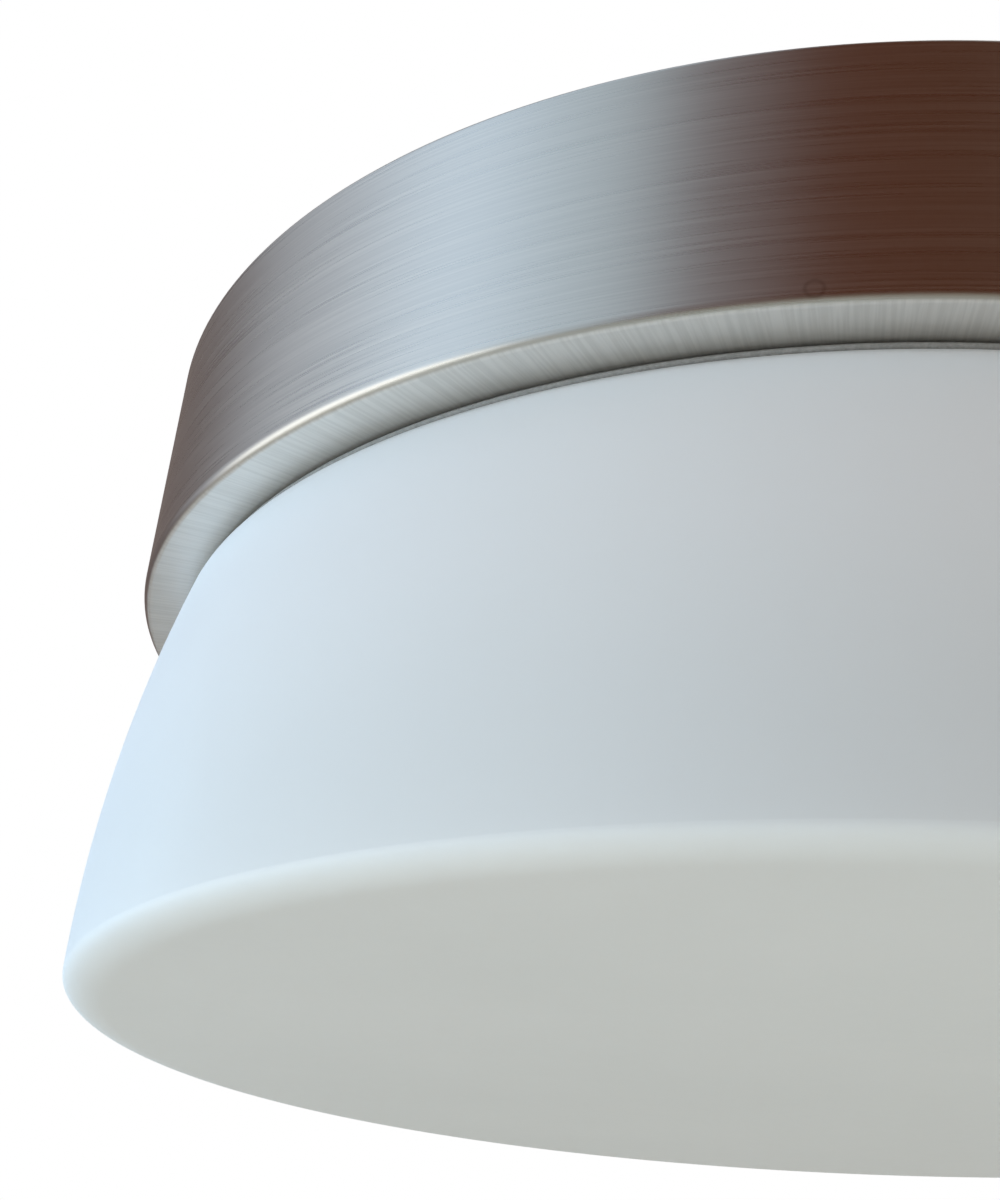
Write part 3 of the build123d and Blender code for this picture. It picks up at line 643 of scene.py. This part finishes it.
def makePan():
    radius, height, plate, opening = pan["radius"], -pan["height"], pan["plate"], pan["opening"]
    recess, ring = pan["recessRadius"], pan["plateRing"]
    back = [(ring, plate), (recess, plate), (recess, 0)]
    corners = back + [(radius - pan["draft"], 0), (radius, height), (opening, height)]
    piece = drawWire("brushedPan", corners)
    roundCorner(piece, corners[1], pan["plateRound"], 4)
    roundCorner(piece, corners[2], pan["rimRound"], 8)
    roundCorner(piece, corners[3], pan["rimRound"], 8)
    roundCorner(piece, corners[4], pan["lowerRound"], 12)
    spinWire(pan["steps"])
    mesh = bmesh.from_edit_mesh(piece.data)
    inner = {vertex for vertex in mesh.verts if abs(vertex.co.xy.length - ring) < 0.0001}
    selectOnly(mesh, inner)
    bpy.ops.mesh.edge_face_add()
    bpy.ops.mesh.select_all(action="SELECT")
    bpy.ops.mesh.normals_make_consistent(inside=False)
    bpy.ops.object.mode_set(mode="OBJECT")
    useModifier(piece, "SOLIDIFY", thickness=pan["sheet"], offset=-1, use_even_offset=True)
    cutters = []
    for x, y, holeRadius in (pan["bushing"], *pan["smallHoles"]):
        addCutter(cutters, (x, y, plate), holeRadius, pan["cutDepth"])
    # keyhole slots: round cuts in a row, the last one wide enough for a screw's head
    reach, last = pan["screwSpacing"] / 2, pan["keyCuts"] - 1
    for side in (0, 180):
        for step in range(last + 1):
            turn = math.radians(side + pan["keyTurn"] * step / last)
            place = (reach * math.cos(turn), reach * math.sin(turn), plate)
            size = pan["keyEntry"] if step == last else pan["keySlot"]
            addCutter(cutters, place, size, pan["cutDepth"] + pan["cutStagger"] * step)
    holes = joinAll(cutters)
    cut = {"object": holes, "operation": "DIFFERENCE", "solver": "EXACT", "use_self": True}
    useModifier(piece, "BOOLEAN", **cut)
    bpy.data.objects.remove(holes)
    finishPiece(piece, "fixture", "brushed_nickel", "pan", 25)


makePan()
print("pan made")


studio = {
    "floorDrop": 1.3,
    "floorRadius": 2.7,
    "floor": (0.80, 0.78, 0.68),
    "floorCloud": (0.75, 0.73, 0.655),
    "floorShare": 0.08,
    "floorGlow": (0.84, 0.9, 1.0),
    "floorPale": 0.52,
    "shellRadius": 3.2,
    "shellGlow": 1.5,
    "sillHeading": (-0.9145, -0.2796, -0.2924),
    "sillRange": (0.86, 0.95),
    "sillColour": (2.0, 2.05, 2.0),
    "ambient": (1.0, 0.87, 0.74),
    "ambientLevel": 0.39,
}

# the room that the metal mirrors: heading in degrees from +X, then colour
roomTones = (
    (-180, (0.50, 0.55, 0.63)),
    (-152, (0.92, 1.12, 1.33)),
    (-128, (0.61, 0.72, 0.80)),
    (-108, (0.205, 0.16, 0.16)),
    (-92, (0.115, 0.042, 0.024)),
    (-60, (0.10, 0.035, 0.017)),
    (-30, (0.40, 0.37, 0.35)),
    (20, (0.85, 0.88, 0.90)),
    (70, (0.52, 0.50, 0.48)),
    (115, (0.22, 0.168, 0.148)),
    (150, (0.172, 0.138, 0.134)),
    (180, (0.50, 0.55, 0.63)),
)


def makeFloor():
    deselectAll()
    place = (0, 0, -studio["floorDrop"])
    bpy.ops.mesh.primitive_circle_add(
        vertices=96, radius=studio["floorRadius"], fill_type="NGON", location=place
    )
    floor = bpy.context.object
    floor.name = "floor"
    material, tree, shader = startMaterial("paleFloor")
    grain = addNoise(tree, objectPoint(tree), 30.0, 3.0)
    clouded = addRange(tree, grain, 0.3, 0.7, 0, studio["floorShare"])
    colour = mixColours(tree, clouded, studio["floor"], studio["floorCloud"])
    tree.links.new(colour, shader.inputs["Base Color"])
    # pale where it is looked at, while the metal mirrors it darker
    path = addNode(tree, "ShaderNodeLightPath", -800, -400)
    looks = path.outputs["Is Camera Ray"], path.outputs["Is Transmission Ray"]
    seen = addMath(tree, "MAXIMUM", *looks, x=-600, y=-400)
    pale = addMath(tree, "MULTIPLY", seen, studio["floorPale"], x=-400, y=-400)
    tree.links.new(pale, shader.inputs["Emission Strength"])
    shader.inputs["Emission Color"].default_value = (*studio["floorGlow"], 1)
    setValues(shader, Roughness=0.9)
    floor.data.materials.append(material)


def makeRoomShell():
    deselectAll()
    bpy.ops.mesh.primitive_uv_sphere_add(segments=48, ring_count=24, radius=studio["shellRadius"])
    shell = bpy.context.object
    shell.name = "roomShell"
    material = bpy.data.materials.new("roomTones")
    material.use_nodes = True
    tree = material.node_tree
    tree.nodes.clear()
    coords = addNode(tree, "ShaderNodeTexCoord", -900, 0)
    heading = addNode(tree, "ShaderNodeTexGradient", -700, 0, gradient_type="RADIAL")
    tree.links.new(coords.outputs["Object"], heading.inputs["Vector"])
    ramp = addNode(tree, "ShaderNodeValToRGB", -500, 0)
    ramp.color_ramp.interpolation = "EASE"
    stops = ramp.color_ramp.elements
    while len(stops) < len(roomTones):
        stops.new(0.5)
    for stop, (degrees, colour) in zip(stops, roomTones):
        stop.position = 0.5 + degrees / 360
        stop.color = (*(channel / studio["shellGlow"] for channel in colour), 1)
    tree.links.new(heading.outputs["Fac"], ramp.inputs["Fac"])
    # a bright sill low at one side, mirrored by the pan's lower bend
    towards = addVectorMath(tree, "NORMALIZE", coords.outputs["Object"], y=-300)
    near = addVectorMath(tree, "DOT_PRODUCT", towards, studio["sillHeading"], y=-300)
    sill = addRange(tree, near, *studio["sillRange"], 0, 1, True, y=-300)
    pale = tuple(channel / studio["shellGlow"] for channel in studio["sillColour"])
    tones = mixColours(tree, sill, ramp.outputs["Color"], pale)
    glow = addNode(tree, "ShaderNodeEmission", -200, 0)
    glow.inputs["Strength"].default_value = studio["shellGlow"]
    tree.links.new(tones, glow.inputs["Color"])
    output = addNode(tree, "ShaderNodeOutputMaterial", 0, 0)
    tree.links.new(glow.outputs[0], output.inputs["Surface"])
    shell.data.materials.append(material)
    shell.visible_camera = False
    shell.visible_diffuse = False
    shell.visible_transmission = False
    shell.visible_volume_scatter = False
    shell.visible_shadow = False


# white where it is seen or mirrored, warm and dim as light on the surfaces
def makeWorld():
    world = bpy.data.worlds.new("paleRoom")
    bpy.context.scene.world = world
    world.use_nodes = True
    tree = world.node_tree
    tree.nodes.clear()
    path = addNode(tree, "ShaderNodeLightPath", -800, 200)
    looks = path.outputs["Is Camera Ray"], path.outputs["Is Glossy Ray"]
    seen = addMath(tree, "MAXIMUM", *looks, x=-600)
    seen = addMath(tree, "MAXIMUM", seen, path.outputs["Is Transmission Ray"], x=-450)
    ambient = addNode(tree, "ShaderNodeBackground", -300, 0)
    ambient.inputs["Color"].default_value = (*studio["ambient"], 1)
    ambient.inputs["Strength"].default_value = studio["ambientLevel"]
    white = addNode(tree, "ShaderNodeBackground", -300, -200)
    white.inputs["Color"].default_value = (1, 1, 1, 1)
    mix = addNode(tree, "ShaderNodeMixShader", -100, 0)
    tree.links.new(seen, mix.inputs[0])
    tree.links.new(ambient.outputs[0], mix.inputs[1])
    tree.links.new(white.outputs[0], mix.inputs[2])
    output = addNode(tree, "ShaderNodeOutputWorld", 100, 0)
    tree.links.new(mix.outputs[0], output.inputs["Surface"])


# place, target, width, power in watts, colour
lamps = {
    "windowLight": ((-1.5, -0.7, -0.45), (0, 0, -0.09), 1.2, 6.3, (0.44, 0.74, 1.0)),
    "sideWindow": ((-1.22, 0.44, 0.1), (0, 0, -0.1), 0.6, 10.0, (0.48, 0.72, 1.0)),
    "frontLight": ((-0.7, -1.6, 0.35), (0, 0, -0.09), 1.2, 5.4, (0.31, 0.66, 1.0)),
    "lowFill": ((-0.5, -1.1, -0.95), (0, 0, -0.1), 1.0, 3.4, (0.96, 0.99, 1.0)),
    "floorGlow": ((-0.5, -0.2, -1.22), (0, 0, -0.14), 1.8, 5.2, (1.0, 0.985, 0.90)),
    "lowSide": ((-1.0, -0.05, -0.66), (0, 0, -0.12), 0.7, 1.8, (0.42, 0.76, 1.0)),
}


def makeLamps():
    for name, (place, target, width, power, colour) in lamps.items():
        light = bpy.data.lights.new(name, "AREA")
        light.shape = "SQUARE"
        light.size = width
        light.energy = power
        light.color = colour
        lamp = bpy.data.objects.new(name, light)
        lamp.location = place
        lamp.rotation_euler = (Vector(target) - Vector(place)).to_track_quat("-Z", "Y").to_euler()
        lamp.visible_glossy = False
        bpy.context.scene.collection.objects.link(lamp)


camera = {
    "place": (0.0, -0.40549, -0.21125),
    "pitch": 0.41921,
    "yaw": -0.20936,
    "roll": 0.06679,
    "lens": 54.7587,
}


def makeCamera():
    pitch, yaw, roll = camera["pitch"], camera["yaw"], camera["roll"]
    level = math.cos(pitch)
    ahead = Vector((math.sin(yaw) * level, math.cos(yaw) * level, math.sin(pitch)))
    right = Vector((math.cos(yaw), -math.sin(yaw), 0))
    up = right.cross(ahead)
    turn = Matrix.Rotation(-roll, 3, ahead)
    right, up = turn @ right, turn @ up
    data = bpy.data.cameras.new("camera")
    data.lens = camera["lens"]
    data.clip_start = 0.01
    eye = bpy.data.objects.new("camera", data)
    axes = Matrix((right, up, -ahead)).transposed().to_4x4()
    eye.matrix_world = Matrix.Translation(camera["place"]) @ axes
    bpy.context.scene.collection.objects.link(eye)
    bpy.context.scene.camera = eye


makeFloor()
makeRoomShell()
makeWorld()
makeLamps()
makeCamera()
bpy.context.scene.view_settings.view_transform = "Standard"
print("studio and camera ready")
